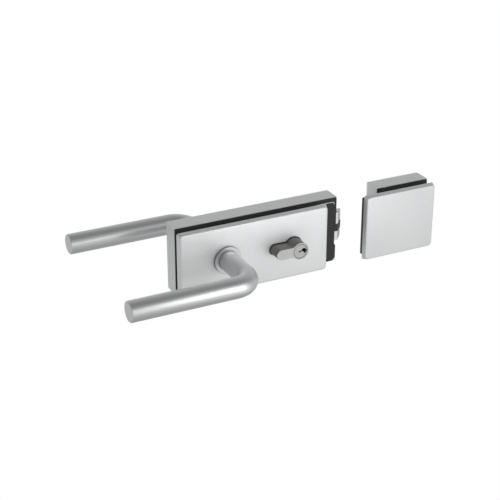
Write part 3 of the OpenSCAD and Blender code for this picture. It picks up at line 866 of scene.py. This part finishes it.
@dataclass
class Mechanism:
    """What the lock case holds: housing, follower, latch, deadbolt and springs.

    Attributes:
        shaper: Maker of the new pieces.
        springs: The springs of lever and latch.
        still_wires: Length of a spring's end that keeps its shape, in radii of its wire.
        spring_crease_deg: Angle from which an edge of a spring is shown sharp.
        bolt_edge_mm: Width of the rounding of the edges of latch and deadbolt.
        hole_shade_mm: Radius and length of the black plug that paints the shade of a small hole in the
            latch.
        hole_shade_top_mm: Middle of the plug's top.
        hole_shade_edge_mm: Width of the rounding round its top.
    """

    shaper: Shaper
    springs: tuple[Spring, ...] = (
        Spring("follower_spring", 0.5, 8, "levers", True),
        Spring("latch_spring", 0.45, 9, "latch", False),
    )
    still_wires: float = 3.0
    spring_crease_deg: float = 60.0
    bolt_edge_mm: float = 0.3
    hole_shade_mm: tuple[float, float] = (1.0, 3.0)
    hole_shade_top_mm: Triple = (126.9, 6.6, 15.06)
    hole_shade_edge_mm: float = 0.1

    def _coil(self, spring: Spring) -> None:
        """Winds a smooth spring where the plain one lies.

        Args:
            spring: The spring's sizes.
        """
        low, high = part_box(spring.node)
        centre = (low + high) / 2
        wire = spring.wire_mm * MM
        reach = (high.z - low.z) / 2 - wire
        steps = spring.turns * TURN_STEPS
        pitch = (high.x - low.x - 2 * wire) / steps
        work = bmesh.new()
        ring = bmesh.ops.create_circle(work, cap_ends=False, segments=WIRE_SIDES, radius=wire)["verts"]
        for axis in ("Y", "Z"):
            bmesh.ops.rotate(work, verts=ring, cent=(0, 0, 0), matrix=Matrix.Rotation(math.pi / 2, 3, axis))
        bmesh.ops.translate(work, verts=ring, vec=(low.x + wire, centre.y, centre.z + reach))
        bmesh.ops.contextual_create(work, geom=work.edges[:])
        spun = bmesh.ops.spin(work, geom=[*ring, *work.edges], cent=(low.x, centre.y, centre.z),
                              axis=(1, 0, 0), dvec=(pitch, 0, 0), angle=2 * math.pi * spring.turns,
                              steps=steps, use_duplicate=False)
        last = [part for part in spun["geom_last"] if isinstance(part, bmesh.types.BMEdge)]
        bmesh.ops.contextual_create(work, geom=last)
        piece = self.shaper.link(spring.node + "_wire", work, self.spring_crease_deg)
        self.shaper.shop.dress(piece, ZINC)
        held = low.x + self.still_wires * wire
        pushed = high.x - self.still_wires * wire
        if spring.free_end_low:
            held, pushed = pushed, held
        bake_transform(piece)
        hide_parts(spring.node)
        LOG.info("made %s", piece.name)

    def _hole_shade(self) -> None:
        """Sets a black plug into the latch's top as painted shade, where a small hole lies in shadow."""
        # Painted shade: a black plug stands in for the dark inside of a small hole
        radius, deep = (size * MM for size in self.hole_shade_mm)
        middle = Vector(self.hole_shade_top_mm) * MM - Vector((0, 0, deep / 2))
        work = bmesh.new()
        bmesh.ops.create_cone(work, cap_ends=True, segments=HOLE_SHADE_SIDES, radius1=radius, radius2=radius,
                              depth=deep)
        bmesh.ops.translate(work, verts=work.verts, vec=middle)
        rim = [edge for edge in work.edges if all(corner.co.z > middle.z for corner in edge.verts)]
        self.shaper.round_off(work, rim, self.hole_shade_edge_mm)
        self.shaper.fit(self.shaper.link("latch_hole_shade", work), "latch", "black_nylon", NYLON)

    def dress(self) -> None:
        """Winds the springs and gives the mechanism its finishes."""
        shop = self.shaper.shop
        for node in ("latch_bolt", "deadbolt"):
            soften(node, self.bolt_edge_mm)
        shop.dress_nodes(CAST, "lock_body", "lock_lid")
        shop.dress_nodes(ZINC, "lid_screws", "follower", "follower_spring", "latch_spring")
        shop.dress_nodes(NICKEL, "latch_bolt", "deadbolt")
        shop.dress_nodes(NYLON, "latch_insert")
        for spring in self.springs:
            self._coil(spring)
        self._hole_shade()


# Corners of the keyway as X and Z in millimetres about the plug's axis. It reaches out of the plug on
# the side away from the lever.
KEYWAY = (
    (-2.4, -0.5), (-0.6, -0.9), (0.4, -0.5), (1.3, 0.3), (2.2, -0.2), (3.4, -1.2), (3.9, -2.5),
    (5.2, -2.6), (5.6, -1.3), (7.6, -1.2), (7.6, 1.0), (5.6, 1.4), (4.8, 2.6), (2.6, 2.8), (1.6, 1.9),
    (0.6, 0.7), (-0.4, 0.4), (-2.4, 0.4),
)


@dataclass
class KeyCylinder:
    """The profile cylinder with its plugs, pins, cam and fixing screw.

    Attributes:
        shaper: Maker of the new pieces.
        housing_edge_mm: Width of the rounding of the housing's edges.
        plug_mm: Radius of a plug in its bore.
        collar_mm: Radius of a plug's collar, which leaves a thin groove round it.
        collar_deep_mm: Thickness of the collar.
        collar_edge_mm: Chamfer at the collar's front.
        keyway_mm: Length of the cutter of the keyway.
    """

    shaper: Shaper
    housing_edge_mm: float = 0.25
    plug_mm: float = 6.45
    collar_mm: float = 6.9
    collar_deep_mm: float = 1.5
    collar_edge_mm: float = 0.25
    keyway_mm: float = 16.0

    def _plug(self, node: str, outwards: int) -> bpy.types.Object:
        """Turns a plug with its collar and mills its warded keyway.

        Args:
            node: The plug's node, whose length it takes.
            outwards: Way that its face looks along Y, -1 for the front one and 1 for the rear one.

        Returns:
            The plug.
        """
        low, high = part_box(node)
        face_y, back_y = (low.y, high.y) if outwards < 0 else (high.y, low.y)
        inwards = -outwards * MM
        axis = Vector((KEY_X_MM * MM, 0, 0))
        edge = self.collar_edge_mm
        collar_y = face_y + self.collar_deep_mm * inwards
        outline = (
            (0, face_y), (self.collar_mm - edge, face_y), (self.collar_mm, face_y + edge * inwards),
            (self.collar_mm, collar_y), (self.plug_mm, collar_y), (self.plug_mm, back_y), (0, back_y),
        )
        work = bmesh.new()
        points = [work.verts.new(axis + Vector((radius * MM, y, 0))) for radius, y in outline]
        lines = [work.edges.new(pair) for pair in zip(points, points[1:])]
        bmesh.ops.spin(work, geom=[*points, *lines], cent=axis, axis=(0, 1, 0), angle=2 * math.pi,
                       steps=PLUG_SIDES, use_merge=True, use_duplicate=False)
        plug = self.shaper.link(node + "_turned", work)
        start_y = face_y / MM + outwards * CLEAR_MM
        if outwards > 0:
            start_y -= self.keyway_mm
        start = Vector((KEY_X_MM, start_y, 0))
        self.shaper.carve(plug, (self.shaper.prism(KEYWAY, start, self.keyway_mm),))
        return plug

    def dress(self) -> None:
        """Makes the plugs and gives the cylinder its finishes."""
        shop = self.shaper.shop
        axis = Vector((KEY_X_MM * MM, 0, 0))
        soften("cylinder_housing", self.housing_edge_mm, segments=3)
        shop.dress_nodes(CYLINDER, "cylinder_housing", centre=axis)
        shop.dress_nodes(PLUG, "front_plug", "rear_plug", centre=axis)
        shop.dress_nodes(ZINC, "cam", "cylinder_screw")
        shop.dress_nodes(BRASS, "clutch", "pin_stacks")
        for side, outwards in (("front", -1), ("rear", 1)):
            node = side + "_plug"
            plug = self._plug(node, outwards)
            self.shaper.fit(plug, side + "_key_plug", "nickel", PLUG, (node,), axis)


@dataclass(frozen=True)
class Glow:
    """A soft patch of light in the studio, such as a softbox or a pale wall.

    Attributes:
        towards: Direction in which the lockset sees it.
        core_deg: Angle from its middle within which it has its full strength.
        rim_deg: Angle from its middle at which it has faded out.
        strength: What it adds to the studio's brightness.
    """

    towards: Triple
    core_deg: float
    rim_deg: float
    strength: float


@dataclass(frozen=True)
class Lamp:
    """A square soft lamp.

    Attributes:
        name: Its name.
        place: Where it hangs, in metres.
        aim: The point that it faces, in metres.
        side: Side of its square, in metres.
        power: Its power in watts.
    """

    name: str
    place: Triple
    aim: Triple
    side: float
    power: float

    def hang(self) -> None:
        """Hangs the lamp in the scene."""
        data = bpy.data.lights.new(self.name, "AREA")
        data.shape = "SQUARE"
        data.size = self.side
        data.energy = self.power
        hung = bpy.data.objects.new(self.name, data)
        bpy.context.scene.collection.objects.link(hung)
        hung.location = self.place
        hung.rotation_mode = "QUATERNION"
        hung.rotation_quaternion = (Vector(self.aim) - Vector(self.place)).to_track_quat("-Z", "Y")


# Brightness of the studio by the sine of the height at which it is seen
STUDIO_LEVELS = ((-0.9, 0.46), (-0.4, 0.66), (0.0, 0.74), (0.43, 0.39), (0.88, 0.27))
GLOWS = (
    Glow((0.45, -0.86, 0.22), 14, 42, 0.46),
    Glow((0.405, 0.807, 0.429), 20, 60, 0.22),
)
LAMPS = (
    Lamp("key", (0.9, -1.3, 0.9), (0.05, 0, 0), 1.0, 0.8),
    Lamp("near", (0.13, -0.42, 0.09), (-0.05, -0.05, 0), 0.25, 0.34),
    Lamp("side", (0.36, -0.44, -0.23), (0.08, 0, 0), 0.40, 0.17),
)


@dataclass
class Studio:
    """The camera, the lamps, the world and the floor.

    Attributes:
        azimuth: Camera's azimuth in degrees, 0 looks along +Y.
        elevation: Camera's elevation in degrees.
        roll: Camera's roll in degrees.
        aside_mm: How far the view's centre lies right of the frame's origin.
        above_mm: How far the view's centre lies above it.
        distance_mm: Distance of the camera from the plane through the origin.
        focal_px: Focal length in pixels of the photograph.
        rear_shift_mm: How far the fitted origin lies before the frame's.
        clip: Nearest and farthest distance that the camera sees, in metres.
        floor_drop_mm: Height of the lockset over the floor.
        floor_radius: Radius of the floor, in metres.
        floor_sides: Number of the floor's edges.
        floor_tone: Linear tone of the floor.
        floor_roughness: Roughness of the floor.
    """

    azimuth: float = -26.65
    elevation: float = 25.39
    roll: float = 0.13
    aside_mm: float = 20.77
    above_mm: float = 8.72
    distance_mm: float = 1209.26
    focal_px: float = 1320.12
    rear_shift_mm: float = 13.5
    clip: tuple[float, float] = (0.01, 20.0)
    floor_drop_mm: float = 620.0
    floor_radius: float = 6.0
    floor_sides: int = 96
    floor_tone: float = 0.8
    floor_roughness: float = 0.9

    def camera(self) -> None:
        """Sets the camera that was fitted to the photograph."""
        turn, rise, lean = (math.radians(v) for v in (self.azimuth, self.elevation, self.roll))
        back = Vector((
            math.sin(turn) * math.cos(rise), -math.cos(turn) * math.cos(rise), math.sin(rise)))
        right = (-back).cross(Vector((0, 0, 1))).normalized()
        up = right.cross(-back)
        right, up = (
            math.cos(lean) * right + math.sin(lean) * up,
            -math.sin(lean) * right + math.cos(lean) * up,
        )
        data = bpy.data.cameras.new("camera")
        data.sensor_width = SENSOR_MM
        data.lens = SENSOR_MM * self.focal_px / PHOTO_PX
        data.clip_start, data.clip_end = self.clip
        seen = bpy.data.objects.new("camera", data)
        bpy.context.scene.collection.objects.link(seen)
        place = back * self.distance_mm + right * self.aside_mm + up * self.above_mm
        place.y -= self.rear_shift_mm
        turned = Matrix((right, up, back)).transposed().to_4x4()
        seen.matrix_world = Matrix.Translation(place * MM) @ turned
        bpy.context.scene.camera = seen

    def surroundings(self, graph: Graph, towards: bpy.types.NodeSocket) -> bpy.types.NodeSocket:
        """Works out how bright the studio is in a direction, as the metal reflects it.

        Args:
            graph: Nodes of the world or of a material.
            towards: Socket that gives the direction, as a unit vector.

        Returns:
            The socket that gives the brightness.
        """
        ramp = graph.nodes.new("ShaderNodeValToRGB")
        ramp.color_ramp.interpolation = "EASE"
        first, last = ramp.color_ramp.elements
        first.position, last.position = (0.5 + 0.5 * STUDIO_LEVELS[i][0] for i in (0, -1))
        for element, (_, level) in ((first, STUDIO_LEVELS[0]), (last, STUDIO_LEVELS[-1])):
            element.color = (level, level, level, 1)
        for sine, level in STUDIO_LEVELS[1:-1]:
            ramp.color_ramp.elements.new(0.5 + 0.5 * sine).color = (level, level, level, 1)
        height = graph.spread(graph.parts(towards)["Z"], 0.0, 1.0, -1.0, 1.0)
        graph.links.new(height, ramp.inputs["Fac"])
        total = ramp.outputs["Color"]
        for glow in GLOWS:
            along = graph.nodes.new("ShaderNodeVectorMath")
            along.operation = "DOT_PRODUCT"
            along.inputs[1].default_value = Vector(glow.towards).normalized()
            graph.links.new(towards, along.inputs[0])
            rim, core = (math.cos(math.radians(angle)) for angle in (glow.rim_deg, glow.core_deg))
            fade = graph.spread(along.outputs["Value"], 0.0, glow.strength, rim, core, "SMOOTHSTEP")
            total = graph.maths("ADD", total, fade)
        return total

    def _white_to_camera(self, graph: Graph, rays: bpy.types.Node,
                         level: bpy.types.NodeSocket) -> bpy.types.NodeSocket:
        """Makes a brightness white where the camera sees it directly.

        Args:
            graph: Nodes of the world or of a material.
            rays: Node that tells the kinds of rays.
            level: Socket of the brightness that all else sees.

        Returns:
            The socket of the brightness.
        """
        seen = graph.nodes.new("ShaderNodeMix")
        seen.inputs["B"].default_value = 1.0
        graph.links.new(rays.outputs["Is Camera Ray"], seen.inputs["Factor"])
        graph.links.new(level, seen.inputs["A"])
        return seen.outputs["Result"]

    def world(self) -> None:
        """Makes the surroundings: white for the camera, the studio's soft light for all else."""
        world = bpy.data.worlds.new("studio")
        bpy.context.scene.world = world
        graph = Graph(world)
        level = self.surroundings(graph, graph.place("Generated"))
        rays = graph.nodes.new("ShaderNodeLightPath")
        light = graph.nodes["Background"]
        light.inputs["Color"].default_value = (1, 1, 1, 1)
        graph.links.new(self._white_to_camera(graph, rays, level), light.inputs["Strength"])

    def _floor_white(self) -> bpy.types.Material:
        """Makes the floor's pale material, in which the metal sees the studio's soft light.

        Returns:
            The new material.
        """
        made = bpy.data.materials.new("floor_white")
        graph = Graph(made)
        shader = graph.nodes["Principled BSDF"]
        shader.inputs["Base Color"].default_value = (*scaled((1, 1, 1), self.floor_tone), 1)
        shader.inputs["Roughness"].default_value = self.floor_roughness
        towards = graph.nodes.new("ShaderNodeVectorMath")
        towards.operation = "NORMALIZE"
        graph.links.new(graph.place(), towards.inputs[0])
        level = self.surroundings(graph, towards.outputs["Vector"])
        rays = graph.nodes.new("ShaderNodeLightPath")
        white = graph.nodes.new("ShaderNodeEmission")
        graph.links.new(self._white_to_camera(graph, rays, level), white.inputs["Strength"])
        share = rays.outputs["Is Camera Ray"]
        for kind in ("Is Glossy Ray", "Is Transmission Ray"):
            share = graph.maths("MAXIMUM", share, rays.outputs[kind])
        mix = graph.nodes.new("ShaderNodeMixShader")
        graph.links.new(share, mix.inputs["Fac"])
        graph.links.new(shader.outputs["BSDF"], mix.inputs[1])
        graph.links.new(white.outputs["Emission"], mix.inputs[2])
        graph.links.new(mix.outputs["Shader"], graph.nodes["Material Output"].inputs["Surface"])
        return made

    def floor(self) -> None:
        """Lays the pale floor, far enough below that no shadow is in the photograph's view."""
        work = bmesh.new()
        bmesh.ops.create_circle(work, cap_ends=True, segments=self.floor_sides, radius=self.floor_radius)
        bmesh.ops.translate(work, verts=work.verts, vec=(0, 0, -self.floor_drop_mm * MM))
        data = bpy.data.meshes.new("floor")
        work.to_mesh(data)
        work.free()
        data.materials.append(self._floor_white())
        laid = bpy.data.objects.new("floor", data)
        bpy.context.scene.collection.objects.link(laid)

    def build(self) -> None:
        """Sets up the whole studio."""
        bpy.context.scene.view_settings.view_transform = "Standard"
        self.camera()
        self.world()
        self.floor()
        for lamp in LAMPS:
            lamp.hang()


def main() -> None:
    """Builds the studio and the lockset's looks, and logs each step."""
    logging.basicConfig(level=logging.INFO, format="%(name)s: %(message)s")
    Studio().build()
    shaper = Shaper(Shop())
    for part in (Casings(shaper), LeverSet(shaper), Mechanism(shaper), KeyCylinder(shaper)):
        part.dress()
        LOG.info("finished %s", type(part).__name__)


if __name__ == "__main__":
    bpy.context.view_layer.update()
    main()
